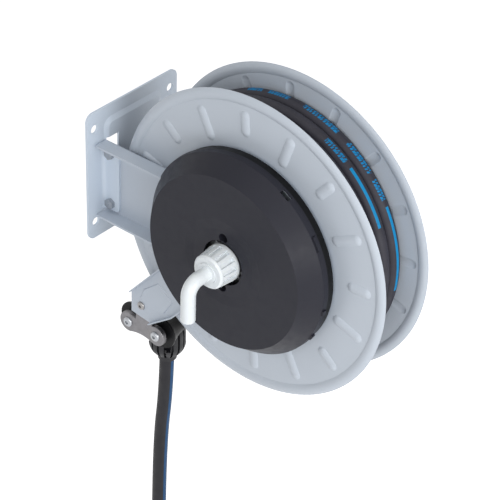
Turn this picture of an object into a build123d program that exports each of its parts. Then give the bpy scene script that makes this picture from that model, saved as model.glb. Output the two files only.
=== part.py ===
from build123d import *
import math
import os

# Spring-rewind hose reel for a wall. Millimetres, +Z up, +X away from the wall.
# The origin is the centre of the wall plate's back face; the drum turns about an axis along Y,
# and "front" is the -Y side, where the support arm, the spring cover and the water inlet are.

# ---- driving dimensions -------------------------------------------------------------------
axis_x = 245.0              # wall to drum axis
axis_z = -12.0              # drum axis below the centre of the wall plate
disc_radius = 215.0
drum_gap = 86.0             # between the inner faces of the two discs
core_radius = 97.5
hose_diameter = 21.0
hose_bore = 13.0
turn_pitch = 21.3
turns_across = 4
layers = 4
plate_width = 175.0
plate_height = 195.0
plate_thickness = 3.0
arm_height = 111.0
arm_centre_z = -6.0
arm_depth = 24.4            # web and flange together
cover_radius = 141.8
shaft_radius = 12.5
roller_spacing = 50.0
guide_drop = 219.0          # drum axis down to the guide rollers

# ---- sheet and clearances -----------------------------------------------------------------
sheet = 3.0                 # plate, arm and guide sheet
disc_sheet = 1.5
seat = 0.05                 # between pieces that seat on each other
run_fit = 0.05              # radial gap of a running fit
gap = 0.3                   # between touching pieces of different bodies
bolt_clearance = 0.3        # radial gap of a bolt in its hole

# ---- places worked out from them ----------------------------------------------------------
disc_face = drum_gap / 2 + disc_sheet          # outer face of each disc
rim_width = 15.5                                # the edge is rolled over and pressed to a lens
rim_crown = 2.4                                 # how far it stands off each face
rib_height = 2.6
disc_clearance = 3.9                            # the arm clears the ribs of the turning disc
web_back = -(disc_face + rib_height + disc_clearance)
web_front = web_back - sheet
ear_front = web_front - sheet
flange_front = web_back - arm_depth
arm_top = arm_centre_z + arm_height / 2
arm_bottom = arm_centre_z - arm_height / 2
coil_inner = core_radius + gap
last_turn_radius = coil_inner + hose_diameter / 2 + (layers - 1) * turn_pitch
hose_x = axis_x - last_turn_radius - 5.3        # vertical line of the hose in the guide
guide_z = axis_z - guide_drop


def front_plane(y, x=axis_x, z=axis_z):
    """A sketch plane seen from the front: its x is X, its y is Z, and it extrudes towards -Y."""
    return Plane(origin=(x, y, z), x_dir=(1, 0, 0), z_dir=(0, -1, 0))


def radial_plane(y, degrees):
    """The front plane on the drum axis, turned so that its x points out at an angle."""
    turn = math.radians(degrees)
    return Plane(origin=(axis_x, y, axis_z), x_dir=(math.cos(turn), 0, math.sin(turn)), z_dir=(0, -1, 0))


def profile_plane(x=axis_x, z=axis_z):
    """A half plane through an axis along Y: its x is the radius, its y is Y."""
    return Plane(origin=(x, 0, z), x_dir=(1, 0, 0), z_dir=(0, 0, 1))


def y_axis(x=axis_x, z=axis_z):
    return Axis((x, 0, z), (0, 1, 0))


def save(part, name):
    part.part.label = name
    export_step(part.part, f"parts/{name}.step")


def ring(outer, inner, rear, front, x=axis_x, z=axis_z):
    """A plain tube about an axis along Y, from y=rear forward to y=front."""
    with BuildPart() as tube:
        with BuildSketch(front_plane(rear, x, z)):
            Circle(outer)
            if inner > 0:
                Circle(inner, mode=Mode.SUBTRACT)
        extrude(amount=rear - front)
    return tube


def hex_bolt(places, head_at, head_height, across, shank, length, socket=0.0):
    """Bolts along Y with heads that stand forward of y=head_at and shanks that run back from it."""
    with BuildPart() as bolts:
        for x, z in places:
            with BuildSketch(front_plane(head_at, x, z)):
                RegularPolygon(across / 2, 6, major_radius=False, rotation=30)
            extrude(amount=head_height)
            with BuildSketch(front_plane(head_at, x, z)):
                Circle(shank)
            extrude(amount=-length)
            if socket > 0:
                with BuildSketch(front_plane(head_at - head_height, x, z)):
                    RegularPolygon(socket, 6)
                extrude(amount=-head_height * 0.6, mode=Mode.SUBTRACT)
    return bolts


def button_bolt(places, head_at, head_height, head_radius, shank, length):
    """Round-headed bolts with a hexagon socket; the same sense as hex_bolt."""
    with BuildPart() as bolts:
        for x, z in places:
            with BuildSketch(profile_plane(x, z)):
                with BuildLine():
                    Polyline((0, head_at - head_height), (head_radius * 0.55, head_at - head_height))
                    ThreePointArc(
                        (head_radius * 0.55, head_at - head_height),
                        (head_radius * 0.9, head_at - head_height * 0.6),
                        (head_radius, head_at),
                    )
                    Polyline(
                        (head_radius, head_at),
                        (shank, head_at),
                        (shank, head_at + length),
                        (0, head_at + length),
                        (0, head_at - head_height),
                    )
                make_face()
            revolve(axis=y_axis(x, z))
            with BuildSketch(front_plane(head_at - head_height, x, z)):
                RegularPolygon(head_radius * 0.38, 6)
            extrude(amount=-head_height * 0.6, mode=Mode.SUBTRACT)
    return bolts


def nuts(places, face, height, across, bore, backwards=True):
    """Hexagon nuts on y=face, standing back from it, or forward."""
    with BuildPart() as group:
        for x, z in places:
            with BuildSketch(front_plane(face, x, z)):
                RegularPolygon(across / 2, 6, major_radius=False, rotation=30)
                Circle(bore, mode=Mode.SUBTRACT)
            extrude(amount=-height if backwards else height)
    return group


def around(radius, count, start=0.0):
    """Places on a circle about the drum axis."""
    step = 360 / count
    angles = [math.radians(start + step * i) for i in range(count)]
    return [(axis_x + radius * math.cos(a), axis_z + radius * math.sin(a)) for a in angles]


# ---- wall plate ---------------------------------------------------------------------------
hole_spacing_y = 147.0
hole_spacing_z = 144.0
wall_hole = 6.0
panel_rise = 3.0
panel_slope = 68.0                             # from upright, so the border is broad and soft
panel_width = 112.0
panel_height = 158.0
bend_inner = 6.0
bend_outer = bend_inner + sheet
bend_y = web_front - bend_outer
ear_reach = 30.5
ear_top = arm_top - 4.5
ear_bottom = arm_bottom + 6.5
ear_relief = ear_top + 1.5
window_start = web_front + 1.5
window_end = web_front + 23.5
window_top = arm_top + 0.8
window_bottom = ear_bottom - 1.5
arm_bolt_x = 15.5
arm_bolt_radius = 4.0
arm_bolt_places = [(arm_bolt_x, arm_centre_z + 38.75), (arm_bolt_x, arm_centre_z - 38.75)]


def make_wall_plate():
    with BuildPart() as plate:
        with BuildSketch(Plane.YZ):
            RectangleRounded(plate_width, plate_height, 12)
        extrude(amount=plate_thickness)
        # large pressed panel, hollow behind
        with BuildSketch(Plane.YZ.offset(plate_thickness)):
            RectangleRounded(panel_width, panel_height, 14)
        extrude(amount=panel_rise, taper=panel_slope)
        with BuildSketch(Plane.YZ):
            RectangleRounded(panel_width - 2, panel_height - 2, 13)
        extrude(amount=panel_rise, taper=panel_slope, mode=Mode.SUBTRACT)
        with BuildSketch(Plane.YZ):
            with GridLocations(hole_spacing_y, hole_spacing_z, 2, 2):
                Circle(wall_hole)
        extrude(amount=plate_thickness, mode=Mode.SUBTRACT)
        # window that the ear was folded out of
        with BuildSketch(Plane.YZ):
            with Locations(((bend_y + window_end) / 2, (ear_relief + window_bottom) / 2)):
                Rectangle(window_end - bend_y, ear_relief - window_bottom)
            with Locations(((window_start + window_end) / 2, (window_top + window_bottom) / 2)):
                Rectangle(window_end - window_start, window_top - window_bottom)
        extrude(amount=plate_thickness + panel_rise, mode=Mode.SUBTRACT)
        # ear, bent through a quarter turn and running out along the arm's web
        slant = math.sqrt(0.5)
        with BuildSketch(Plane.XY.offset(ear_bottom)):
            with BuildLine():
                ThreePointArc(
                    (0, bend_y), (bend_outer * (1 - slant), bend_y + bend_outer * slant), (bend_outer, web_front),
                )
                Polyline(
                    (bend_outer, web_front), (ear_reach, web_front), (ear_reach, ear_front), (bend_outer, ear_front),
                )
                ThreePointArc(
                    (bend_outer, ear_front),
                    (bend_outer - bend_inner * slant, bend_y + bend_inner * slant),
                    (plate_thickness, bend_y),
                )
                Polyline((plate_thickness, bend_y), (plate_thickness, bend_y - 1), (0, bend_y - 1), (0, bend_y))
            make_face()
        extrude(amount=ear_top - ear_bottom)
        fillet(plate.edges().filter_by(Axis.Y).group_by(Axis.X)[-1], 6)
        with BuildSketch(front_plane(web_front, 0, 0)):
            with Locations(*arm_bolt_places):
                Circle(arm_bolt_radius + bolt_clearance)
        extrude(amount=sheet, mode=Mode.SUBTRACT)
    return plate


# ---- support arm: a channel that widens into a round pan ----------------------------------
arm_start = plate_thickness + panel_rise + gap
channel_bend = 5.5                              # outer radius of the channel's bends
pan_radius = cover_radius - 3.8
pan_rim_front = web_front - 8.0
hub_tube_radius = 19.0
bush_radius = 15.5
hub_screw_circle = 30.0
hub_screw_radius = 3.0
rivet_radius = 3.0
case_screw_radius = 2.5
case_screws = around(120.0, 4, 75)
guide_angle = 224.4                             # direction of the guide arm from the drum axis
guide_opening = 74.0                            # room for the guide arm through the pan's rim
guide_rivets = around(122.0, 1, guide_angle - 10) + around(122.0, 1, guide_angle + 9) + around(131.0, 1, guide_angle)


def arm_passage(height, rear, front):
    """The room the arm's channel takes where it runs in towards the drum axis."""
    reach = axis_x - 100.0
    with BuildPart(mode=Mode.PRIVATE) as room:
        with BuildSketch(front_plane(rear, reach / 2, arm_centre_z)):
            Rectangle(reach, height)
        extrude(amount=rear - front)
    return room.part


def guide_passage(width, rear, front):
    """The room through the pan's rim in the direction of the guide arm."""
    with BuildPart(mode=Mode.PRIVATE) as room:
        with BuildSketch(radial_plane(rear, guide_angle)):
            with Locations((135, 0)):
                Rectangle(50, width)
        extrude(amount=rear - front)
    return room.part


def make_support_arm():
    flange_end = axis_x - math.sqrt(pan_radius**2 - (arm_top - axis_z) ** 2) + 2
    with BuildPart() as arm:
        # channel with bent corners, open to the front
        with BuildSketch(Plane.YZ.offset(arm_start)):
            with Locations((flange_front, arm_centre_z)):
                RectangleRounded(2 * arm_depth, arm_height, channel_bend)
                RectangleRounded(
                    2 * (arm_depth - sheet), arm_height - 2 * sheet, channel_bend - sheet, mode=Mode.SUBTRACT,
                )
            with Locations((flange_front - arm_depth, arm_centre_z)):
                Rectangle(2 * arm_depth, arm_height + 2, mode=Mode.SUBTRACT)
        extrude(amount=flange_end - arm_start)
        with BuildSketch(front_plane(web_back)):
            Circle(pan_radius)
        extrude(amount=sheet)
        with BuildSketch(front_plane(web_front)):
            Circle(pan_radius)
            Circle(pan_radius - sheet, mode=Mode.SUBTRACT)
        extrude(amount=web_front - pan_rim_front)
        add(arm_passage(arm_height - 2 * sheet, web_front, pan_rim_front - 1), mode=Mode.SUBTRACT)
        add(guide_passage(guide_opening, web_front, pan_rim_front - 1), mode=Mode.SUBTRACT)
        with BuildSketch(front_plane(web_back, 0, 0)):
            with Locations((axis_x, axis_z)):
                Circle(bush_radius)
            with Locations(*arm_bolt_places):
                Circle(arm_bolt_radius + bolt_clearance)
            with Locations(*around(hub_screw_circle, 4, 45)):
                Circle(hub_screw_radius + bolt_clearance)
            with Locations(*guide_rivets):
                Circle(rivet_radius)
            with Locations(*case_screws):
                Circle(case_screw_radius + bolt_clearance)
        extrude(amount=sheet, mode=Mode.SUBTRACT)
    return arm


# ---- guide arm: the stamped plate that holds the hose guide -------------------------------
guide_bolt = (hose_x + 2.5, guide_z + 43.0)
guide_bolt_radius = 4.0
lip = 6.0
edge_top = [(hose_x - 15.5, guide_z + 61.0), (axis_x - 101.0, axis_z - 50.0)]
edge_low = [(hose_x + 20.0, guide_z + 21.5), (axis_x - 116.0, axis_z - 166.0), (axis_x - 60.0, axis_z - 100.7)]
lip_ends = (0.62, 0.62)


def edge_strip(start, end, share, width):
    """Corners of a strip just inside the edge from start to end, over a share of its length."""
    along = Vector(end[0] - start[0], end[1] - start[1])
    stop = Vector(*start) + along * share
    inward = Vector(-along.Y, along.X).normalized() * width
    return [start, (stop.X, stop.Y), (stop.X + inward.X, stop.Y + inward.Y), (start[0] + inward.X, start[1] + inward.Y)]


def make_guide_arm():
    with BuildPart() as arm:
        with BuildSketch(front_plane(web_front, 0, 0)) as outline:
            with BuildLine():
                Polyline(
                    edge_top[0], (hose_x - 15.5, guide_z + 26.0), *edge_low, edge_top[1], close=True,
                )
            make_face()
            with Locations((axis_x, axis_z)):
                Circle(112.0, mode=Mode.SUBTRACT)
        extrude(amount=sheet)
        # lips folded forward along the long edges
        for start, end, share, width in (
            (edge_top[0], edge_top[1], 0.6, -sheet * 0.6),
            (edge_low[0], edge_low[1], 0.98, sheet * 0.6),
            (edge_low[1], edge_low[2], 0.42, sheet * 0.6),
        ):
            with BuildSketch(front_plane(ear_front + 0.2, 0, 0)):
                with BuildLine():
                    Polyline(*edge_strip(start, end, share, width), close=True)
                make_face()
            extrude(amount=lip + 0.2)
        # pressed panel that stiffens the plate
        with BuildSketch(front_plane(ear_front, 0, 0)):
            with BuildLine():
                Polyline(
                    (hose_x + 14, guide_z + 46), (hose_x + 1, guide_z + 56), (hose_x + 8, guide_z + 74),
                    (hose_x + 34, guide_z + 96), (hose_x + 60, guide_z + 76), (hose_x + 44, guide_z + 50),
                    close=True,
                )
            make_face()
        extrude(amount=1.2, taper=45)
        with BuildSketch(front_plane(web_front, 0, 0)):
            with Locations(guide_bolt):
                Circle(guide_bolt_radius + bolt_clearance)
            with Locations(*guide_rivets):
                Circle(rivet_radius)
        extrude(amount=sheet, mode=Mode.SUBTRACT)
    return arm


# ---- hose guide: two links, two spool rollers -----------------------------------------------
link_sheet = 6.5
link_radius = 15.2
link_waist = 10.6
waist_radius = (roller_spacing**2 / 4 - link_radius**2 + link_waist**2) / (2 * (link_radius - link_waist))
link_front_rear = web_front + link_sheet
link_back_front = disc_face
axle_radius = 5.0
roller_waist = 14.0
roller_flange = 24.0
roller_half = 39.0
roller_places = [(hose_x - roller_spacing / 2, guide_z), (hose_x + roller_spacing / 2, guide_z)]


def waist_sketch():
    """Two round ends, joined by a waist that runs smoothly into both."""
    reach = waist_radius / (waist_radius + link_radius)
    joint_z = link_radius * (waist_radius + link_waist) / (waist_radius + link_radius)
    with Locations((-roller_spacing / 2, 0), (roller_spacing / 2, 0)):
        Circle(link_radius)
    Rectangle(roller_spacing * reach, 2 * joint_z)
    with Locations((0, waist_radius + link_waist), (0, -waist_radius - link_waist)):
        Circle(waist_radius, mode=Mode.SUBTRACT)


def make_link(rear, upper):
    """Zinc-plated link across both rollers, with a leg up to the guide arm when upper is set."""
    with BuildPart() as link:
        with BuildSketch(front_plane(rear, hose_x, guide_z)):
            waist_sketch()
            if upper:
                with BuildLine():
                    Polyline(
                        (-12, 0), (-9, guide_bolt[1] - guide_z + 6), (guide_bolt[0] - hose_x, guide_bolt[1] - guide_z + 13),
                        (15, guide_bolt[1] - guide_z + 6), (20, 0), close=True,
                    )
                make_face()
        extrude(amount=link_sheet)
        fillet(link.faces().sort_by(Axis.Y)[0].edges(), 1.2)
        with BuildSketch(front_plane(rear, 0, 0)):
            with Locations(*roller_places):
                Circle(axle_radius + 0.1)
            if upper:
                with Locations(guide_bolt):
                    Circle(guide_bolt_radius + bolt_clearance)
        extrude(amount=link_sheet, mode=Mode.SUBTRACT)
    return link


def make_roller(x, z):
    """Waisted spool with a collar at each end that runs against the links."""
    end = -link_front_rear - gap
    far = link_back_front - gap
    bore = axle_radius + run_fit
    with BuildPart() as roller:
        with BuildSketch(profile_plane(x, z)):
            with BuildLine():
                Polyline(
                    (roller_flange, -roller_half), (roller_flange, -roller_half - 2.5), (10, -roller_half - 2.5),
                    (10, -end), (bore, -end), (bore, far), (10, far), (10, roller_half + 2.5),
                    (roller_flange, roller_half + 2.5), (roller_flange, roller_half),
                )
                ThreePointArc((roller_flange, roller_half), (roller_waist, 0), (roller_flange, -roller_half))
            make_face()
        revolve(axis=y_axis(x, z))
    return roller


# ---- hub tube, bushes and shaft -----------------------------------------------------------
hub_flange_radius = 40.0
hub_flange_rear = web_back + 5.0
hub_tube_rear = 14.0
bush_length = 20.0
shaft_flange_radius = 50.0
shaft_flange_front = drum_gap / 2 - 5.0
shaft_front = web_front - 58.0
collar_radius = 17.0
washer = 2.0
end_float = 0.4
collar_front = hub_tube_rear + end_float + washer
shaft_bore = 7.0
seal_bore = 9.0
seal_depth = 22.0
shaft_bolt_circle = 36.0
tie_radius = 88.0
tie_bolt_radius = 3.0
outlet_radius = 6.4
outlet_y = 27.0
outlet_x = axis_x + 60.0
outlet_rise = 34.0


def make_hub_tube():
    with BuildPart() as tube:
        with BuildSketch(front_plane(hub_flange_rear)):
            Circle(hub_flange_radius)
        extrude(amount=hub_flange_rear - web_back)
        with BuildSketch(front_plane(hub_tube_rear)):
            Circle(hub_tube_radius)
        extrude(amount=hub_tube_rear - hub_flange_rear)
        with BuildSketch(front_plane(hub_tube_rear)):
            Circle(bush_radius)
        extrude(amount=hub_tube_rear - web_back, mode=Mode.SUBTRACT)
        with BuildSketch(front_plane(hub_flange_rear, 0, 0)):
            with Locations(*around(hub_screw_circle, 4, 45)):
                Circle(hub_screw_radius + bolt_clearance)
        extrude(amount=hub_flange_rear - web_back, mode=Mode.SUBTRACT)
    return tube


def make_shaft():
    with BuildPart() as shaft:
        with BuildSketch(front_plane(drum_gap / 2)):
            Circle(shaft_flange_radius)
        extrude(amount=drum_gap / 2 - shaft_flange_front)
        with BuildSketch(front_plane(shaft_flange_front)):
            Circle(collar_radius)
        extrude(amount=shaft_flange_front - collar_front)
        with BuildSketch(front_plane(shaft_flange_front)):
            Circle(shaft_radius)
        extrude(amount=shaft_flange_front - shaft_front)
        bore_end = outlet_y + outlet_radius + 1.5
        with BuildSketch(front_plane(bore_end)):
            Circle(shaft_bore)
        extrude(amount=bore_end - shaft_front, mode=Mode.SUBTRACT)
        with BuildSketch(front_plane(shaft_front + seal_depth)):
            Circle(seal_bore)
        extrude(amount=seal_depth, mode=Mode.SUBTRACT)
        with BuildSketch(Plane.YZ.offset(axis_x)):
            with Locations((outlet_y, axis_z)):
                Circle(outlet_radius)
        extrude(amount=collar_radius + 1, mode=Mode.SUBTRACT)
        with BuildSketch(front_plane(drum_gap / 2, 0, 0)):
            with Locations(*around(shaft_bolt_circle, 6, 30)):
                Circle(4 + bolt_clearance)
        extrude(amount=drum_gap / 2 - shaft_flange_front, mode=Mode.SUBTRACT)
    return shaft


# ---- drum: two pressed discs on a rolled core ----------------------------------------------
rib_count = 16
rib_start = 4.5
rib_outer = 192.5
rib_inner = (156.5, 144.5)
rib_shift = {-1: 0.0, 1: 5.0}                   # the rear disc's ribs run further out
rib_half_width = 7.4
rib_radius = (rib_half_width**2 + rib_height**2) / (2 * rib_height)
core_sheet = 1.5
hose_hole_radius = 12.0


def rib_groove(side, inner_end, outer_end, radius):
    """A round-ended rod along a rib's line; only its back shows above the disc."""
    depth = side * (disc_face + rib_height - rib_radius)
    half = (outer_end - inner_end) / 2 - rib_half_width
    with BuildPart(mode=Mode.PRIVATE) as rod:
        with BuildSketch(Plane(origin=(axis_x + (inner_end + outer_end) / 2, depth, axis_z))):
            with BuildLine():
                Polyline((-half - radius, 0), (half + radius, 0))
                ThreePointArc((half + radius, 0), (half + radius * math.sqrt(0.5), radius * math.sqrt(0.5)), (half, radius))
                Line((half, radius), (-half, radius))
                ThreePointArc(
                    (-half, radius), (-half - radius * math.sqrt(0.5), radius * math.sqrt(0.5)), (-half - radius, 0),
                )
            make_face()
        revolve(axis=Axis((axis_x, depth, axis_z), (1, 0, 0)))
    return rod.part


def rib_set(side, radius, keep_from):
    """All the ribs of a disc as rods of a radius, cut off on the drum's side of keep_from."""
    step = 360 / rib_count
    with BuildPart(mode=Mode.PRIVATE) as ribs:
        for i in range(rib_count):
            rod = rib_groove(side, rib_inner[i % 2] + rib_shift[side], rib_outer + rib_shift[side], radius)
            add(rod.rotate(y_axis(), -(rib_start + i * step)))
        with BuildSketch(front_plane(keep_from)):
            Circle(disc_radius)
        extrude(amount=side * 30, mode=Mode.SUBTRACT)
    return ribs.part


def make_disc(bore, side):
    """Pressed disc with a rolled edge and hollow radial ribs."""
    inner = side * drum_gap / 2
    outer = side * disc_face
    rim = disc_radius - rim_width
    crown = disc_radius - rim_width * 0.45
    lip = disc_radius - 0.8
    with BuildPart() as disc:
        with BuildSketch(profile_plane()):
            with BuildLine():
                Line((bore, inner), (rim, inner))
                ThreePointArc((rim, inner), (crown, inner - side * rim_crown), (lip, inner))
                ThreePointArc((lip, inner), (disc_radius, (inner + outer) / 2), (lip, outer))
                ThreePointArc((lip, outer), (crown, outer + side * rim_crown), (rim, outer))
                Polyline((rim, outer), (bore, outer), (bore, inner))
            make_face()
        revolve(axis=y_axis())
        # pressed ribs, long and short in turn, hollow on the drum's side
        add(rib_set(side, rib_radius, inner + side * 0.2))
        add(rib_set(side, rib_radius - disc_sheet, inner - side * 0.3), mode=Mode.SUBTRACT)
        with BuildSketch(front_plane(max(inner, outer), 0, 0)):
            with Locations(*around(tie_radius, 6, 30)):
                Circle(tie_bolt_radius + bolt_clearance)
            if side > 0:
                with Locations(*around(shaft_bolt_circle, 6, 30)):
                    Circle(4 + bolt_clearance)
        extrude(amount=disc_sheet, mode=Mode.SUBTRACT)
    return disc


def make_drum_core():
    """Rolled core with a hole where the hose leaves it along a tangent."""
    with BuildPart() as core:
        with BuildSketch(front_plane(drum_gap / 2)):
            Circle(core_radius)
            Circle(core_radius - core_sheet, mode=Mode.SUBTRACT)
        extrude(amount=drum_gap)
        with BuildSketch(Plane.XY.offset(axis_z)):
            with Locations((outlet_x, outlet_y)):
                Circle(hose_hole_radius)
        extrude(amount=core_radius, mode=Mode.SUBTRACT)
    return core


def make_outlet_pipe():
    """Bent pipe from the hollow shaft to the hose inside the core."""
    with BuildPart() as pipe:
        with BuildLine() as route:
            FilletPolyline(
                (axis_x + shaft_bore + 2, outlet_y, axis_z), (outlet_x, outlet_y, axis_z),
                (outlet_x, outlet_y, axis_z + outlet_rise), radius=14,
            )
        with BuildSketch(Plane(origin=route.line @ 0, z_dir=route.line % 0)):
            Circle(outlet_radius)
            Circle(outlet_radius - 1.5, mode=Mode.SUBTRACT)
        sweep()
    return pipe


def make_hose_inlet():
    """The hose's inner end, pushed over the outlet pipe and running out to the core."""
    with BuildPart() as hose:
        with BuildSketch(Plane.XY.offset(axis_z + outlet_rise - 18)):
            with Locations((outlet_x, outlet_y)):
                Circle(hose_diameter / 2)
                Circle(outlet_radius, mode=Mode.SUBTRACT)
        extrude(amount=48)
    return hose


def make_hose_clamp():
    with BuildPart() as clamp:
        with BuildSketch(Plane.XY.offset(axis_z + outlet_rise - 13)):
            with Locations((outlet_x, outlet_y)):
                Circle(hose_diameter / 2 + 1.2)
                Circle(hose_diameter / 2, mode=Mode.SUBTRACT)
        extrude(amount=9)
        with BuildSketch(Plane.XY.offset(axis_z + outlet_rise - 13)):
            with Locations((outlet_x, outlet_y - hose_diameter / 2 - 3.5)):
                Rectangle(12, 5.5)
        extrude(amount=9)
    return clamp


# ---- wound hose ---------------------------------------------------------------------------
coil_half = turns_across * turn_pitch / 2 - 0.15


def make_hose_coil():
    """The outer shape of the wound hose, scalloped where its turns lie side by side."""
    outer = last_turn_radius
    with BuildPart() as coil:
        with BuildSketch(profile_plane()):
            with BuildLine():
                Polyline((outer, -coil_half), (coil_inner, -coil_half), (coil_inner, coil_half), (outer, coil_half))
                step = 2 * coil_half / turns_across
                for i in range(turns_across):
                    high = coil_half - i * step
                    ThreePointArc((outer, high), (outer + hose_diameter / 2, high - step / 2), (outer, high - step))
            make_face()
        revolve(axis=y_axis())
    return coil


# ---- spring motor ---------------------------------------------------------------------------
case_wall = 1.5
case_depth = 26.0
case_front = web_front - case_depth
lid = 2.0
lid_front = case_front - lid
spring_inner = 27.0
spring_pitch = 5.6
spring_turns = 14
spring_strip = 0.9
spring_width = 19.0
spring_outer = spring_inner + spring_strip + (spring_turns - 0.25) * spring_pitch
case_radius = spring_outer + seat + case_wall
arbor_radius = 25.0
arbor_rear = web_front - 3.0
arbor_length = 21.0


def make_spring_case():
    """Pressed cup that holds the spring, with four feet screwed to the pan."""
    with BuildPart() as case:
        with BuildSketch(front_plane(web_front)):
            Circle(case_radius)
            for x, z in case_screws:
                with Locations((x - axis_x, z - axis_z)):
                    Circle(7)
            for i in range(4):
                with Locations(Location((0, 0, 0), (0, 0, 75 + 90 * i))):
                    with Locations((112, 0)):
                        Rectangle(16, 14)
        extrude(amount=case_wall)
        with BuildSketch(front_plane(web_front)):
            Circle(case_radius)
        extrude(amount=case_depth)
        with BuildSketch(front_plane(web_front - case_wall)):
            Circle(case_radius - case_wall)
        extrude(amount=case_depth, mode=Mode.SUBTRACT)
        with BuildSketch(front_plane(web_front, 0, 0)):
            with Locations((axis_x, axis_z)):
                Circle(hub_flange_radius - 2)
            with Locations(*case_screws):
                Circle(case_screw_radius + bolt_clearance)
        extrude(amount=case_wall, mode=Mode.SUBTRACT)
    return case


def spiral_arcs(offset):
    """Half circles about two centres that make a flat spiral, pushed out by offset."""
    step = spring_pitch / 2
    for i in range(2 * spring_turns):
        side = 1 if i % 2 == 0 else -1
        yield -side * step / 2, spring_inner + offset + i * step, side


def make_power_spring():
    with BuildPart() as spring:
        with BuildSketch(front_plane(web_front - 3.4)):
            with BuildLine():
                ends = []
                for offset in (0.0, spring_strip):
                    arcs = list(spiral_arcs(offset))
                    for centre, radius, side in arcs:
                        ThreePointArc((centre + side * radius, 0), (centre, side * radius), (centre - side * radius, 0))
                    ends.append((arcs[0][0] + arcs[0][2] * arcs[0][1], arcs[-1][0] - arcs[-1][2] * arcs[-1][1]))
                Line((ends[0][0], 0), (ends[1][0], 0))
                Line((ends[0][1], 0), (ends[1][1], 0))
            make_face()
        extrude(amount=spring_width)
    return spring


def make_spring_arbor():
    """Sleeve on the shaft that the spring's inner end hooks round."""
    with BuildPart() as arbor:
        with BuildSketch(front_plane(arbor_rear)):
            Circle(arbor_radius)
            Circle(shaft_radius, mode=Mode.SUBTRACT)
            with Locations((arbor_radius, 0)):
                Rectangle(5, 3, mode=Mode.SUBTRACT)
        extrude(amount=arbor_length)
    return arbor


# ---- ratchet under the cover ----------------------------------------------------------------
ratchet_teeth = 16
ratchet_tip = 27.0
ratchet_root = 23.0
ratchet_rear = lid_front - 1.0
ratchet_thickness = 5.0
pawl_pin_radius = 4.0
pawl_pivot = (axis_x + 42.0, axis_z + 26.0)
hole_offset = 37.0
hole_radius = 6.8
cover_screw_radius = 2.5
cover_screws = [(axis_x, axis_z + hole_offset), (axis_x, axis_z - hole_offset)]


def make_case_lid():
    with BuildPart() as cap:
        with BuildSketch(front_plane(case_front, 0, 0)):
            with Locations((axis_x, axis_z)):
                Circle(case_radius)
                Circle(shaft_radius + 3, mode=Mode.SUBTRACT)
            with Locations(pawl_pivot):
                Circle(pawl_pin_radius, mode=Mode.SUBTRACT)
            with Locations(*cover_screws):
                Circle(cover_screw_radius, mode=Mode.SUBTRACT)
        extrude(amount=lid)
    return cap


def make_ratchet_wheel():
    pitch = 2 * math.pi / ratchet_teeth
    corners = []
    for i in range(ratchet_teeth):
        corners.append((ratchet_tip * math.cos(i * pitch), ratchet_tip * math.sin(i * pitch)))
        corners.append((ratchet_root * math.cos(i * pitch + 0.1), ratchet_root * math.sin(i * pitch + 0.1)))
    with BuildPart() as wheel:
        with BuildSketch(front_plane(ratchet_rear)):
            with BuildLine():
                Polyline(*corners, close=True)
            make_face()
            Circle(shaft_radius, mode=Mode.SUBTRACT)
        extrude(amount=ratchet_thickness)
    return wheel


def make_pawl():
    """Sprung lever, drawn lifted just clear of the wheel's teeth."""
    nose_x = axis_x + ratchet_tip + 0.6
    with BuildPart() as pawl:
        with BuildSketch(front_plane(ratchet_rear - 0.5, 0, 0)):
            with BuildLine():
                Polyline(
                    (nose_x, axis_z), (pawl_pivot[0] - 8, pawl_pivot[1] - 2), (pawl_pivot[0], pawl_pivot[1] + 5),
                    (pawl_pivot[0] + 8, pawl_pivot[1] - 2), (nose_x + 6, axis_z + 1), close=True,
                )
            make_face()
            with Locations(pawl_pivot):
                Circle(8)
                Circle(pawl_pin_radius + run_fit, mode=Mode.SUBTRACT)
        extrude(amount=ratchet_thickness - 1)
    return pawl


def make_pawl_spring():
    """Torsion spring on the pawl's pin, in front of the pawl."""
    front = ratchet_rear - ratchet_thickness - 4.2
    with BuildPart() as spring:
        with BuildLine() as route:
            Helix(1.3, 3.2, pawl_pin_radius + 0.65, center=(pawl_pivot[0], front, pawl_pivot[1]), direction=(0, 1, 0))
        with BuildSketch(Plane(origin=route.line @ 0, z_dir=route.line % 0)):
            Circle(0.5)
        sweep(is_frenet=True)
    return spring


# ---- spring cover ---------------------------------------------------------------------------
cover_wall = 2.5
cover_rear = web_front - 11.0
skirt_rear = web_back - 0.2                     # a thin skirt runs back round the pan
skirt_radius = pan_radius + gap + 1.4
shoulder_y = web_front - 18.5
cover_front = web_front - 44.5
shoulder_radius = 141.2
face_radius = 121.6
dish_radius = 62.0
dish_depth = 0.8
dish_slope = 14.0
cover_bore = 31.5
sleeve_wall = 1.5
sleeve_floor = 2.0
notch_angle = 58.6
clip_angles = (30.0, -9.6, -28.4)


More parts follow.
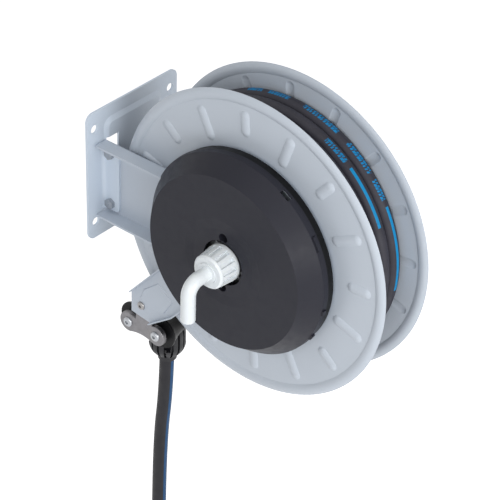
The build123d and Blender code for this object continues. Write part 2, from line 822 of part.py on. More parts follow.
def make_reel_cover():
    back = cover_front + cover_wall
    with BuildPart() as cover:
        with BuildSketch(profile_plane()):
            with BuildLine():
                Polyline(
                    (skirt_radius, skirt_rear), (skirt_radius, cover_rear), (cover_radius, cover_rear),
                    (shoulder_radius, shoulder_y), (face_radius, cover_front), (dish_radius, cover_front),
                    (dish_radius - dish_slope, cover_front + dish_depth),
                    (cover_bore, cover_front + dish_depth), (cover_bore, back + dish_depth),
                    (dish_radius - dish_slope, back + dish_depth), (dish_radius, back), (face_radius - 1, back),
                    (shoulder_radius - cover_wall, shoulder_y + 1), (pan_radius + gap, cover_rear - 4),
                    (pan_radius + gap, skirt_rear), close=True,
                )
            make_face()
        revolve(axis=y_axis())
        # sleeves down to the case's lid for the two cover screws
        for x, z in cover_screws:
            with BuildSketch(front_plane(lid_front, x, z)):
                Circle(hole_radius + sleeve_wall)
            extrude(amount=lid_front - back - dish_depth + 0.5)
            with BuildSketch(front_plane(lid_front - sleeve_floor, x, z)):
                Circle(hole_radius)
            extrude(amount=40, mode=Mode.SUBTRACT)
            with BuildSketch(front_plane(lid_front, x, z)):
                Circle(cover_screw_radius + bolt_clearance)
            extrude(amount=sleeve_floor, mode=Mode.SUBTRACT)
        add(arm_passage(arm_height + 1.6, skirt_rear + 1, flange_front - 0.8), mode=Mode.SUBTRACT)
        add(guide_passage(guide_opening, skirt_rear + 1, cover_rear), mode=Mode.SUBTRACT)
        with BuildSketch(radial_plane(cover_rear + 1, notch_angle)):
            with Locations((cover_radius, 0)):
                Rectangle(10, 15)
        extrude(amount=9, mode=Mode.SUBTRACT)
    return cover


def make_cover_clips():
    """Sprung clips snapped over the cover's side wall."""
    with BuildPart() as clips:
        for angle, wide, rear in zip(clip_angles, (20.0, 8.0, 8.0), (0.0, 1.0, 2.0)):
            with BuildSketch(radial_plane(cover_rear - rear, angle)):
                with Locations((cover_radius - 1.0, 0)):
                    Rectangle(6.0, wide)
            extrude(amount=6)
        with BuildSketch(profile_plane()):
            with BuildLine():
                Polyline(
                    (cover_radius - 6, cover_rear + 1), (cover_radius, cover_rear + 1), (cover_radius, cover_rear),
                    (shoulder_radius, shoulder_y), (face_radius, cover_front), (face_radius - 20, cover_front),
                    close=True,
                )
            make_face()
        revolve(axis=y_axis(), mode=Mode.SUBTRACT)
    return clips


# ---- water inlet ----------------------------------------------------------------------------
nut_rear = cover_front + 3.5
nut_front = web_front - 73.0
nut_rear_radius = 26.0
nut_front_radius = 22.6
nut_grooves = 14
spigot_radius = 8.6
elbow_bore = 5.5
elbow_radius = 9.65
elbow_collar = 14.1
elbow_flange = 17.0
elbow_bend = 17.0
elbow_y = -162.0
elbow_drop = 54.5
seal_groove = 7.0
seal_places = [shaft_front + 6.0, shaft_front + 13.0]
elbow_flange_front = shaft_front - 4.6


def make_swivel_nut():
    """Large plastic nut that holds the elbow against the end of the shaft."""
    lip_rear = elbow_flange_front - gap
    with BuildPart() as nut:
        with BuildSketch(profile_plane()):
            with BuildLine():
                Polyline(
                    (0, nut_rear), (nut_rear_radius, nut_rear), (nut_rear_radius, nut_rear - 5),
                    (nut_front_radius + 0.8, nut_front + 2.5), (nut_front_radius - 1.5, nut_front), (0, nut_front),
                    close=True,
                )
            make_face()
        revolve(axis=y_axis())
        # grip grooves that run out through the front edge
        for i in range(nut_grooves):
            with BuildSketch(radial_plane(nut_rear - 5, (i + 0.5) * 360 / nut_grooves)):
                with Locations((nut_rear_radius, 0)):
                    Rectangle(2 * (nut_rear_radius - nut_front_radius) + 1.4, 6)
            extrude(amount=nut_rear - nut_front - 9, mode=Mode.SUBTRACT)
        with BuildSketch(front_plane(nut_rear)):
            Circle(shaft_radius)
        extrude(amount=nut_rear - shaft_front, mode=Mode.SUBTRACT)
        with BuildSketch(front_plane(shaft_front)):
            Circle(elbow_flange + gap)
        extrude(amount=shaft_front - lip_rear, mode=Mode.SUBTRACT)
        with BuildSketch(front_plane(lip_rear)):
            Circle(elbow_collar + gap)
        extrude(amount=lip_rear - nut_front, mode=Mode.SUBTRACT)
    return nut


def make_inlet_elbow():
    end_z = axis_z - elbow_drop
    flange_rear = shaft_front - gap
    with BuildPart() as elbow:
        with BuildLine() as route:
            FilletPolyline(
                (axis_x, nut_front + 2, axis_z), (axis_x, elbow_y, axis_z), (axis_x, elbow_y, end_z), radius=elbow_bend,
            )
        with BuildSketch(Plane(origin=route.line @ 0, z_dir=route.line % 0)):
            Circle(elbow_radius)
        sweep()
        with BuildSketch(front_plane(shaft_front + seal_depth - 3)):
            Circle(spigot_radius)
        extrude(amount=seal_depth - 2)
        with BuildSketch(front_plane(flange_rear)):
            Circle(elbow_flange)
        extrude(amount=flange_rear - elbow_flange_front)
        with BuildSketch(front_plane(elbow_flange_front)):
            Circle(elbow_collar)
        extrude(amount=elbow_flange_front - nut_front + 1.7)
        fillet(elbow.edges().sort_by(Axis.Z)[0], 1.8)
        # water way
        with BuildLine() as bore_route:
            FilletPolyline(
                (axis_x, shaft_front + seal_depth, axis_z), (axis_x, elbow_y, axis_z), (axis_x, elbow_y, end_z - 1),
                radius=elbow_bend,
            )
        with BuildSketch(Plane(origin=bore_route.line @ 0, z_dir=bore_route.line % 0)):
            Circle(elbow_bore)
        sweep(path=bore_route.line, mode=Mode.SUBTRACT)
        for y in seal_places:
            with BuildSketch(front_plane(y + 1.1)):
                Circle(spigot_radius + 1)
                Circle(seal_groove, mode=Mode.SUBTRACT)
            extrude(amount=2.2, mode=Mode.SUBTRACT)
    return elbow


def make_swivel_seals():
    section = (seal_bore - seal_groove - gap) / 2
    with BuildPart() as seals:
        for y in seal_places:
            with BuildSketch(profile_plane()):
                with Locations((seal_bore - section, y)):
                    Circle(section)
            revolve(axis=y_axis())
    return seals


# ---- hose below the guide -------------------------------------------------------------------
stop_radius = 26.6
stop_upper = axis_z - 251.5
stop_lower = axis_z - 267.0
stop_top = stop_upper + stop_radius
stop_bottom = stop_lower - stop_radius - 3.5
stop_middle = (stop_upper + stop_lower) / 2
stop_screw_y = (-17.0, 17.0)
stop_clamp = 9.0                                # seam to the screw's head
fin_count = 16
groove_width = 3.2
groove_depth = 5.0
lead_top = axis_z - 78.0
lead_bottom = stop_top + 1.5
lead_bore = hose_diameter / 2 - 0.8
run_radius = lead_bore - gap
hose_points = [
    (hose_x, 0, stop_top - 1.0),
    (hose_x, 0, axis_z - 340.0),
    (hose_x - 14.5, 0, axis_z - 470.0),
    (hose_x - 14.5, 0, axis_z - 630.0),
]
end_x = hose_x - 14.5
end_z = hose_points[-1][2]
end_thread = 13.2                               # three-quarter inch pipe thread
seam = 0.05


def bend_radii(points):
    """A radius for each corner that uses 0.45 of its shorter run."""
    radii = []
    for before, corner, after in zip(points, points[1:], points[2:]):
        a, b = Vector(*corner) - Vector(*before), Vector(*after) - Vector(*corner)
        radii.append(0.45 * min(a.length, b.length) / math.tan(math.radians(a.get_angle(b)) / 2))
    return radii


def make_hose_tail():
    with BuildPart() as hose:
        with BuildLine() as route:
            FilletPolyline(*hose_points, radius=bend_radii(hose_points))
        with BuildSketch(Plane(origin=route.line @ 0, z_dir=route.line % 0)):
            Circle(hose_diameter / 2)
            Circle(hose_bore / 2, mode=Mode.SUBTRACT)
        sweep()
    print("hose bends", [round(r, 1) for r in bend_radii(hose_points)], "length", round(sum(e.length for e in route.edges()), 1))
    return hose


def upright_tube(outer, inner, top, bottom):
    with BuildPart() as tube:
        with BuildSketch(Plane.XY.offset(bottom)):
            with Locations((hose_x, 0)):
                Circle(outer)
                Circle(inner, mode=Mode.SUBTRACT)
        extrude(amount=top - bottom)
    return tube


def stop_ball(radius):
    """The stop's outline: a ball stretched along the hose, with a short neck below."""
    low, high = -radius, stop_upper - stop_lower + radius
    slant = radius * math.sqrt(0.5)
    with BuildPart(mode=Mode.PRIVATE) as ball:
        with BuildSketch(Plane(origin=(hose_x, 0, stop_lower), x_dir=(1, 0, 0), z_dir=(0, -1, 0))):
            with BuildLine():
                Line((0, low), (0, high))
                ThreePointArc((0, low), (slant, -slant), (radius, 0))
                Line((radius, 0), (radius, high - radius))
                ThreePointArc((radius, high - radius), (slant, high - radius + slant), (0, high))
            make_face()
        revolve(axis=Axis((hose_x, 0, 0), (0, 0, 1)))
        with BuildSketch(Plane.XY.offset(stop_bottom)):
            with Locations((hose_x, 0)):
                Circle(13.5)
        extrude(amount=12)
    return ball.part


def make_stop_half(side):
    """Half of the clamped ball that stops the hose at the guide."""
    length = stop_top - stop_bottom + 2
    with BuildPart() as half:
        add(stop_ball(stop_radius))
        # grooves between the fins, as deep at the poles as round the middle
        for i in range(fin_count // 2):
            with BuildSketch(Plane.XY.offset(stop_bottom + 9)):
                with Locations(Location((hose_x, 0, 0), (0, 0, 360 / fin_count * (i + 0.5)))):
                    Rectangle(4 * stop_radius, groove_width)
            extrude(amount=length - 12, mode=Mode.SUBTRACT)
        add(stop_ball(stop_radius - groove_depth))
        with BuildSketch(Plane.XY.offset(stop_bottom - 1)):
            with Locations((hose_x, 0)):
                Circle(hose_diameter / 2 + seam)
        extrude(amount=length, mode=Mode.SUBTRACT)
        # pockets for the screw heads and nuts
        for y in stop_screw_y:
            with BuildSketch(Plane.YZ.offset(hose_x + side * stop_clamp)):
                with Locations((y, stop_middle)):
                    Rectangle(9, 24)
            extrude(amount=side * stop_radius, mode=Mode.SUBTRACT)
            with BuildSketch(Plane.YZ.offset(hose_x)):
                with Locations((y, stop_middle)):
                    Circle(2.3)
            extrude(amount=side * stop_radius, mode=Mode.SUBTRACT)
        # keep one side of the seam
        with BuildSketch(Plane.XY.offset(stop_bottom - 1)):
            with Locations((hose_x - side * (stop_radius + 2 - seam), 0)):
                Rectangle(2 * stop_radius + 4, 2 * stop_radius + 4)
        extrude(amount=length, mode=Mode.SUBTRACT)
    return half


def make_stop_screws():
    with BuildPart() as screws:
        for y in stop_screw_y:
            with BuildSketch(Plane.YZ.offset(hose_x - stop_clamp - 4)):
                with Locations((y, stop_middle)):
                    Circle(2.0)
            extrude(amount=2 * stop_clamp + 4)
            for start in (-stop_clamp - 3, stop_clamp):
                with BuildSketch(Plane.YZ.offset(hose_x + start)):
                    with Locations((y, stop_middle)):
                        Circle(3.6)
                extrude(amount=3)
    return screws


def make_hose_ferrule():
    """Crimped ferrule over the hose's end, ribbed."""
    with BuildPart() as ferrule:
        with BuildSketch(Plane(origin=(end_x, 0, end_z), x_dir=(1, 0, 0), z_dir=(0, -1, 0))):
            with BuildLine():
                points = [(hose_diameter / 2, 0), (hose_diameter / 2, 26.0), (12.2, 26.0)]
                for i in range(4):
                    points += [(12.2, 24.0 - 6 * i), (11.6, 23.0 - 6 * i), (11.6, 21.0 - 6 * i), (12.2, 20.0 - 6 * i)]
                points += [(12.2, 0)]
                Polyline(*points, close=True)
            make_face()
        revolve(axis=Axis((end_x, 0, 0), (0, 0, 1)))
    return ferrule


def make_end_fitting():
    """Barbed tail with a hexagon and a male thread for the tool or gun."""
    with BuildPart() as fitting:
        with BuildSketch(Plane.XY.offset(end_z)):
            with Locations((end_x, 0)):
                Circle(hose_bore / 2)
        extrude(amount=24)
        with BuildSketch(Plane.XY.offset(end_z - 3)):
            with Locations((end_x, 0)):
                Circle(12.2)
        extrude(amount=3)
        with BuildSketch(Plane.XY.offset(end_z - 13)):
            with Locations((end_x, 0)):
                RegularPolygon(end_thread + 2.3, 6, major_radius=False)
        extrude(amount=10)
        with BuildSketch(Plane.XY.offset(end_z - 29)):
            with Locations((end_x, 0)):
                Circle(end_thread)
        extrude(amount=16)
        chamfer(fitting.edges().sort_by(Axis.Z)[0], 1)
        for i in range(6):
            with BuildSketch(Plane(origin=(end_x, 0, end_z - 27 + 2.3 * i), x_dir=(1, 0, 0), z_dir=(0, -1, 0))):
                with Locations((end_thread, 0)):
                    Rectangle(1.2, 1.0)
            revolve(axis=Axis((end_x, 0, 0), (0, 0, 1)), mode=Mode.SUBTRACT)
        with BuildSketch(Plane.XY.offset(end_z - 30)):
            with Locations((end_x, 0)):
                Circle(4.5)
        extrude(amount=60, mode=Mode.SUBTRACT)
    return fitting


def make_hub_screws():
    return button_bolt(around(hub_screw_circle, 4, 45), web_front, 2.2, 5.0, hub_screw_radius, 11.5)


def make_rivets():
    with BuildPart() as rivets:
        for x, z in guide_rivets:
            for at, height in ((ear_front - 2, 2.0), (web_back, 2.0)):
                with BuildSketch(front_plane(at + height, x, z)):
                    Circle(rivet_radius + 2)
                extrude(amount=height)
            with BuildSketch(front_plane(web_back, x, z)):
                Circle(rivet_radius)
            extrude(amount=2 * sheet)
    return rivets


# ---- build ----------------------------------------------------------------------------------
def rearward_bolts(places, face, across, shank, length):
    """Hexagon bolts whose heads stand behind y=face and whose shanks run forward."""
    with BuildPart() as bolts:
        for x, z in places:
            with BuildSketch(front_plane(face + 4.5, x, z)):
                RegularPolygon(across / 2, 6, major_radius=False, rotation=30)
            extrude(amount=4.5)
            with BuildSketch(front_plane(face, x, z)):
                Circle(shank)
            extrude(amount=length)
    return bolts


def build_all():
    arm_clamp = 2 * sheet
    pieces = {
        "wall_plate": make_wall_plate(),
        "support_arm": make_support_arm(),
        "arm_bolts": hex_bolt(arm_bolt_places, ear_front, 5.5, 13, arm_bolt_radius, arm_clamp + 11),
        "arm_nuts": nuts(arm_bolt_places, web_back + 6.5, 6.5, 13, arm_bolt_radius, False),
        "guide_arm": make_guide_arm(),
        "guide_rivets": make_rivets(),
        "link_bolt": button_bolt([guide_bolt], ear_front, 3.0, 6.2, guide_bolt_radius, sheet + link_sheet + 9),
        "link_nut": nuts([guide_bolt], link_front_rear + 6.5, 6.5, 13, guide_bolt_radius, False),
        "link_front": make_link(link_front_rear, True),
        "link_rear": make_link(link_back_front + link_sheet, False),
        "roller_axles": button_bolt(
            roller_places, web_front, 3.2, 7.6, axle_radius, link_back_front + link_sheet - web_front + 7.5),
        "axle_nuts": nuts(roller_places, link_back_front + link_sheet + 6.5, 6.5, 15, axle_radius, False),
        "roller_left": make_roller(*roller_places[0]),
        "roller_right": make_roller(*roller_places[1]),
        "hub_tube": make_hub_tube(),
        "hub_bolts": make_hub_screws(),
        "bush_front": ring(bush_radius, shaft_radius + run_fit, web_back + bush_length, web_back),
        "bush_rear": ring(bush_radius, shaft_radius + run_fit, hub_tube_rear, hub_tube_rear - bush_length),
        "shaft": make_shaft(),
        "thrust_washer": ring(collar_radius + 1.5, shaft_radius, collar_front, collar_front - washer),
        "retaining_ring": ring(17.5, shaft_radius, web_front - 0.4, web_front - 2.2),
        "front_disc": make_disc(52.0, -1),
        "rear_disc": make_disc(20.0, 1),
        "drum_core": make_drum_core(),
        "tie_bolts": hex_bolt(around(tie_radius, 6, 30), -disc_face, 2.4, 10, tie_bolt_radius, 2 * disc_face + 7),
        "tie_nuts": nuts(around(tie_radius, 6, 30), disc_face + 5, 5, 10, tie_bolt_radius, False),
        "shaft_flange_bolts": rearward_bolts(
            around(shaft_bolt_circle, 6, 30), disc_face, 13, 4.0, disc_face - shaft_flange_front + 8),
        "outlet_pipe": make_outlet_pipe(),
        "hose_inlet": make_hose_inlet(),
        "hose_clamp": make_hose_clamp(),
        "hose_coil": make_hose_coil(),
        "spring_case": make_spring_case(),
        "spring_case_screws": button_bolt(case_screws, web_front - case_wall, 2.5, 4.5, case_screw_radius, 7.5),
        "power_spring": make_power_spring(),
        "spring_arbor": make_spring_arbor(),
        "case_lid": make_case_lid(),
        "ratchet_wheel": make_ratchet_wheel(),
        "pawl": make_pawl(),
        "pawl_pin": ring(pawl_pin_radius, 0, case_front + 2, ratchet_rear - ratchet_thickness - 4.5, *pawl_pivot),
        "pawl_spring": make_pawl_spring(),
        "reel_cover": make_reel_cover(),
        "cover_screws": button_bolt(
            cover_screws, lid_front - sleeve_floor, 2.8, 4.8, cover_screw_radius, sleeve_floor + lid + 1.5),
        "cover_clips": make_cover_clips(),
        "swivel_nut": make_swivel_nut(),
        "swivel_seals": make_swivel_seals(),
        "inlet_elbow": make_inlet_elbow(),
        "hose_lead": upright_tube(hose_diameter / 2, lead_bore, lead_top, lead_bottom),
        "hose_run": upright_tube(run_radius, hose_bore / 2, lead_top - 2, stop_top - 1.0),
        "stop_half_left": make_stop_half(-1),
        "stop_half_right": make_stop_half(1),
        "stop_screws": make_stop_screws(),
        "hose_tail": make_hose_tail(),
        "hose_ferrule": make_hose_ferrule(),
        "end_fitting": make_end_fitting(),
    }
    return pieces


os.makedirs("parts", exist_ok=True)
for name, piece in build_all().items():
    save(piece, name)
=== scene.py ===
import math
import bpy
from mathutils import Matrix, Vector


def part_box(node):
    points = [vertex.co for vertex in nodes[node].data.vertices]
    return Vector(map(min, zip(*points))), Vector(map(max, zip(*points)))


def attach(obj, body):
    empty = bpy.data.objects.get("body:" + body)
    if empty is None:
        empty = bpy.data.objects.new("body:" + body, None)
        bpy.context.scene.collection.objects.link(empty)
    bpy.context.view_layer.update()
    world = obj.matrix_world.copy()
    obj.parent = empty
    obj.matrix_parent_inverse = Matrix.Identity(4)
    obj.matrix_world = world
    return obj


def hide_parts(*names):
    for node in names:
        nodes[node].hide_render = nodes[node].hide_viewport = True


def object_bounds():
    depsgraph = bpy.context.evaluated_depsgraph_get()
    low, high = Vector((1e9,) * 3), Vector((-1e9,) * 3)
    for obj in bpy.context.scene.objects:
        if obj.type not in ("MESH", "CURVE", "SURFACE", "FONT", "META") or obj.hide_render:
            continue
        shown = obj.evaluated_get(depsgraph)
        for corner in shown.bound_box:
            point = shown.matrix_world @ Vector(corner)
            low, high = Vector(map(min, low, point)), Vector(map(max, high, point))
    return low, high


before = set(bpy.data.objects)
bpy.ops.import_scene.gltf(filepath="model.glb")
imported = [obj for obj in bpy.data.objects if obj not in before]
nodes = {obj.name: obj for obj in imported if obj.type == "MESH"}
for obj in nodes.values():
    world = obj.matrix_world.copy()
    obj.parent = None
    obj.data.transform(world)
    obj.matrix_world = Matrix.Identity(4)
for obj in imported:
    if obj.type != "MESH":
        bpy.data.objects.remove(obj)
cad_low, cad_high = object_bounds()
scene = bpy.context.scene
scene.view_settings.view_transform = "Standard"


# ---- places, read from the CAD frame --------------------------------------------------------
def middle(node):
    low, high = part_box(node)
    return (Vector(low) + Vector(high)) / 2


AXIS = middle("hub_tube")                       # a point on the drum's axis; only x and z are used
RUN = middle("hose_run")                        # the upright line of the hose in the guide
COIL_LOW, COIL_HIGH = [Vector(v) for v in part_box("hose_coil")]
HOSE_R = 0.0105
HOSE_TRAVEL = 0.14                              # how far the pulled hose comes down, which the floor clears
PITCH = 0.0213
TURNS = 4
LAYERS = 4
OUTER_R = (COIL_HIGH.x - COIL_LOW.x) / 2 - HOSE_R
SHADED_SKIRT_DEPTH = 0.0095                            # depth of the painted-shade band: the thin skirt at the cover's back edge, painted near-black
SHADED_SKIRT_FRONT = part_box("reel_cover")[1][1] - SHADED_SKIRT_DEPTH


def on_drum(radius, degrees, y):
    a = math.radians(degrees)
    return Vector((AXIS.x + radius * math.cos(a), y, AXIS.z + radius * math.sin(a)))


# ---- camera ---------------------------------------------------------------------------------
CAMERA_PLACE = (1.5765, -1.7014, 1.4668)
CAMERA_BACK = (0.51316, -0.63895, 0.57308)      # from the object towards the camera
CAMERA_RIGHT = (0.76623, 0.64187, 0.02953)


def add_camera():
    back = Vector(CAMERA_BACK).normalized()
    right = Vector(CAMERA_RIGHT)
    right = (right - back * right.dot(back)).normalized()
    up = back.cross(right)
    cam = bpy.data.objects.new("camera", bpy.data.cameras.new("camera"))
    cam.data.lens = 146.9
    cam.data.sensor_width = 36
    cam.data.clip_end = 50
    turn = Matrix((right, up, back)).transposed().to_4x4()
    cam.matrix_world = Matrix.Translation(CAMERA_PLACE) @ turn
    scene.collection.objects.link(cam)
    scene.camera = cam


add_camera()


# ---- materials ------------------------------------------------------------------------------
class Look:
    """A Principled material whose colour, roughness and bump come from small node chains."""

    def __init__(self, name, color, rough, metallic=0.0, **sockets):
        self.mat = bpy.data.materials.new(name)
        self.mat.use_nodes = True
        self.tree = self.mat.node_tree
        self.bsdf = self.tree.nodes["Principled BSDF"]
        self.bsdf.inputs["Base Color"].default_value = (*color, 1)
        self.bsdf.inputs["Roughness"].default_value = rough
        self.bsdf.inputs["Metallic"].default_value = metallic
        for key, value in sockets.items():
            self.bsdf.inputs[key.replace("_", " ")].default_value = value
        self.color = (*color, 1)
        self.coord = self.node("ShaderNodeTexCoord").outputs["Object"]
        self.normal = None

    def node(self, kind, **values):
        made = self.tree.nodes.new(kind)
        for key, value in values.items():
            if key in made.inputs:
                made.inputs[key].default_value = value
            else:
                setattr(made, key, value)
        return made

    def link(self, a, b):
        self.tree.links.new(a, b)

    def noise(self, scale, detail=3.0, rough=0.55, stretch=(1, 1, 1)):
        turn = self.node("ShaderNodeMapping")
        turn.inputs["Scale"].default_value = stretch
        self.link(self.coord, turn.inputs["Vector"])
        tex = self.node("ShaderNodeTexNoise", Scale=scale, Detail=detail, Roughness=rough)
        self.link(turn.outputs["Vector"], tex.inputs["Vector"])
        return tex.outputs["Fac"]

    def ramp(self, value, low, high, to_low=0.0, to_high=1.0):
        made = self.node("ShaderNodeMapRange")
        for key, number in (("From Min", low), ("From Max", high), ("To Min", to_low), ("To Max", to_high)):
            made.inputs[key].default_value = number
        self.link(value, made.inputs["Value"])
        return made.outputs["Result"]

    def mix(self, factor, other):
        """Mixes another colour over what the base colour is now."""
        made = self.node("ShaderNodeMix", data_type="RGBA")
        made.inputs["A"].default_value = self.color
        source = self.bsdf.inputs["Base Color"]
        if source.is_linked:
            self.link(source.links[0].from_socket, made.inputs["A"])
        made.inputs["B"].default_value = (*other, 1)
        self.link(factor, made.inputs["Factor"])
        self.link(made.outputs["Result"], source)
        return self

    def math(self, operation, first, second=None):
        made = self.node("ShaderNodeMath", operation=operation)
        for socket, value in zip(made.inputs, (first, second)):
            if isinstance(value, (int, float)):
                socket.default_value = value
            elif value is not None:
                self.link(value, socket)
        return made.outputs[0]

    def strokes(self, along, across, pitch=0.0042, slant=0.022):
        """Slanted strokes of uneven width in two rows, as a worn pattern that spells nothing."""
        row = self.math("GREATER_THAN", across, 0.0)
        place = self.math("ADD", along, self.math("MULTIPLY", row, pitch / 2))
        place = self.math("ADD", place, self.math("MULTIPLY", across, slant))
        count = self.math("MULTIPLY", place, 1 / pitch)
        cell = self.node("ShaderNodeTexWhiteNoise", noise_dimensions="1D")
        self.link(self.math("ADD", self.math("FLOOR", count), row), cell.inputs["W"])
        wide = self.ramp(cell.outputs["Value"], 0.0, 1.0, 0.45, 0.95)
        stroke = self.math("LESS_THAN", self.math("FRACT", count), wide)
        middle = self.math("GREATER_THAN", self.math("ABSOLUTE", across), 0.004)
        return self.math("MULTIPLY", stroke, middle)

    def behind(self, y):
        """1 where the piece lies further back than y, else 0."""
        split = self.node("ShaderNodeSeparateXYZ")
        self.link(self.node("ShaderNodeNewGeometry").outputs["Position"], split.inputs["Vector"])
        return self.math("GREATER_THAN", split.outputs["Y"], y)

    def roughness(self, value, low, high, to_low, to_high):
        self.link(self.ramp(value, low, high, to_low, to_high), self.bsdf.inputs["Roughness"])
        return self

    def bump(self, height, distance, strength=1.0):
        made = self.node("ShaderNodeBump", Distance=distance, Strength=strength)
        self.link(height, made.inputs["Height"])
        if self.normal is not None:
            self.link(self.normal, made.inputs["Normal"])
        self.normal = made.outputs["Normal"]
        self.link(self.normal, self.bsdf.inputs["Normal"])
        return self


def powder_coat(name, color):
    look = Look(name, color, 0.42, Coat_Weight=0.25, Coat_Roughness=0.3)
    broad = look.noise(9, 4)
    look.mix(look.ramp(broad, 0.35, 0.7, 0.0, 0.35), tuple(c * 0.93 for c in color))
    look.mix(look.ramp(look.noise(900, 2), 0.56, 0.72, 0.0, 0.30), tuple(min(1, c * 1.1) for c in color))
    look.roughness(look.noise(60, 3), 0.3, 0.7, 0.36, 0.50)
    look.bump(look.noise(520, 2), 0.00016, 0.35)
    look.bump(look.noise(26, 2), 0.0012, 0.10)
    return look.mat


def zinc(name, color=(0.33, 0.325, 0.33), rough=0.36):
    look = Look(name, color, rough, 1.0)
    look.mix(look.ramp(look.noise(140, 4), 0.4, 0.7, 0.0, 0.6), tuple(c * 0.78 for c in color))
    warm = (color[0] * 1.04, color[1], color[2] * 0.9)
    look.mix(look.ramp(look.noise(30, 2), 0.55, 0.75, 0.0, 0.35), warm)
    look.roughness(look.noise(220, 3), 0.3, 0.7, rough - 0.08, rough + 0.12)
    look.bump(look.noise(700, 3), 0.00008, 0.4)
    return look.mat


def moulded(name, color, rough=0.45, grain=1100, depth=0.00012, fade=1.35, **sockets):
    look = Look(name, color, rough, **sockets)
    look.mix(look.ramp(look.noise(14, 4), 0.35, 0.75, 0.0, 0.4), tuple(min(1, c * fade) for c in color))
    look.roughness(look.noise(90, 3), 0.3, 0.7, rough - 0.06, rough + 0.08)
    look.bump(look.noise(grain, 2), depth, 0.5)
    look.bump(look.noise(35, 2), 0.0008, 0.06)
    return look.mat


BLUE = (0.0, 0.23, 0.50)
DEEP_BLUE = (0.003, 0.060, 0.17)
PRINT_BLUE = (0.0, 0.20, 0.46)
HOSE_COLOR = (0.031, 0.030, 0.040)
TAIL_COLOR = (0.015, 0.0148, 0.018)


def hose_look(name, half_width=0.0, blue=BLUE, printed=False, color=HOSE_COLOR):
    """Hose rubber. UV x runs along the hose in metres and y goes round it, 0 to 1;
    the coloured line lies at y = 0.5. Printed breaks it into rows of short strokes."""
    look = Look(name, color, 0.52, Specular_IOR_Level=0.28)
    look.mix(look.ramp(look.noise(45, 4), 0.4, 0.75, 0.0, 0.5), tuple(c * 1.5 for c in color))
    uv = look.node("ShaderNodeTexCoord").outputs["UV"]
    if half_width > 0:
        split = look.node("ShaderNodeSeparateXYZ")
        look.link(uv, split.inputs["Vector"])
        off = look.math("SUBTRACT", split.outputs["Y"], 0.5)
        band = look.ramp(look.math("ABSOLUTE", off), half_width * 0.85, half_width, 1.0, 0.0)
        if printed:
            band = look.math("MULTIPLY", band, look.strokes(split.outputs["X"], off))
        worn = look.ramp(look.noise(260, 4), 0.30, 0.42, 0.75, 1.0)
        look.mix(look.math("MULTIPLY", band, worn), blue)
    look.roughness(look.noise(120, 3), 0.3, 0.7, 0.46, 0.60)
    # faint cloth print of the wrapped cover
    weave = look.node("ShaderNodeTexWave", Scale=260.0, Distortion=0.4)
    weave.bands_direction = "X"
    look.link(uv, weave.inputs["Vector"])
    look.bump(weave.outputs["Fac"], 0.00006, 0.5)
    look.bump(look.noise(600, 2), 0.00010, 0.35)
    return look.mat


def cover_look():
    """Anthracite plastic, with the thin skirt behind the shoulder painted near-black: painted shade for the
    dark gap between the cover and the disc.
    """
    color = (0.018, 0.0183, 0.026)
    look = Look("anthracite_plastic", color, 0.42, Specular_IOR_Level=0.19)
    look.mix(look.ramp(look.noise(14, 4), 0.35, 0.75, 0.0, 0.4), tuple(c * 1.2 for c in color))
    # painted shade: the skirt behind the shoulder turns near-black, standing in for the shadow gap between
    # cover and disc
    look.mix(look.behind(SHADED_SKIRT_FRONT), (0.0015, 0.0015, 0.002))
    look.roughness(look.noise(90, 3), 0.3, 0.7, 0.36, 0.50)
    look.bump(look.noise(1400, 2), 0.00008, 0.5)
    look.bump(look.noise(35, 2), 0.0008, 0.06)
    return look.mat


PAINT = powder_coat("paint_grey_blue", (0.49, 0.545, 0.62))
DISC = powder_coat("paint_disc", (0.50, 0.55, 0.615))
# painted light: the wall plate gets a lighter copy of the frame's grey-blue paint, making up for the side
# light that the drum keeps off it
PLATE_PAINTED_LIGHT = powder_coat("paint_plate_painted_light", (0.63, 0.71, 0.81))
COVER = cover_look()
BLACK = moulded("black_plastic", (0.007, 0.007, 0.008), 0.42, 900, 0.00010, Specular_IOR_Level=0.14)
STOP = moulded("black_rubber", (0.013, 0.013, 0.016), 0.46, 700, 0.00014, Specular_IOR_Level=0.38)
WHITE = moulded(
    "white_plastic", (0.735, 0.775, 0.80), 0.30, 800, 0.00004, 1.02,
    Subsurface_Weight=0.06, Subsurface_Radius=(0.004, 0.004, 0.003),
)
BUSH = moulded("bearing_plastic", (0.60, 0.58, 0.50), 0.5)
ZINC = zinc("zinc_plate")
BRIGHT = zinc("bright_zinc", (0.44, 0.455, 0.48), 0.34)
LINK = zinc("dull_zinc", (0.235, 0.23, 0.24), 0.40)
STEEL = zinc("oiled_steel", (0.33, 0.34, 0.36), 0.42)
SPRING = zinc("spring_steel", (0.26, 0.28, 0.33), 0.30)
BRASS = zinc("brass", (0.72, 0.52, 0.24), 0.28)
SEAL = moulded("seal_rubber", (0.012, 0.012, 0.012), 0.55)
HOSE_PLAIN = hose_look("hose_plain")
HOSE_LINE = hose_look("hose_line", 0.036)
HOSE_PRINT = hose_look("hose_print", 0.062, PRINT_BLUE, printed=True)
HOSE_TAIL = hose_look("hose_tail", 0.058, DEEP_BLUE, color=TAIL_COLOR)

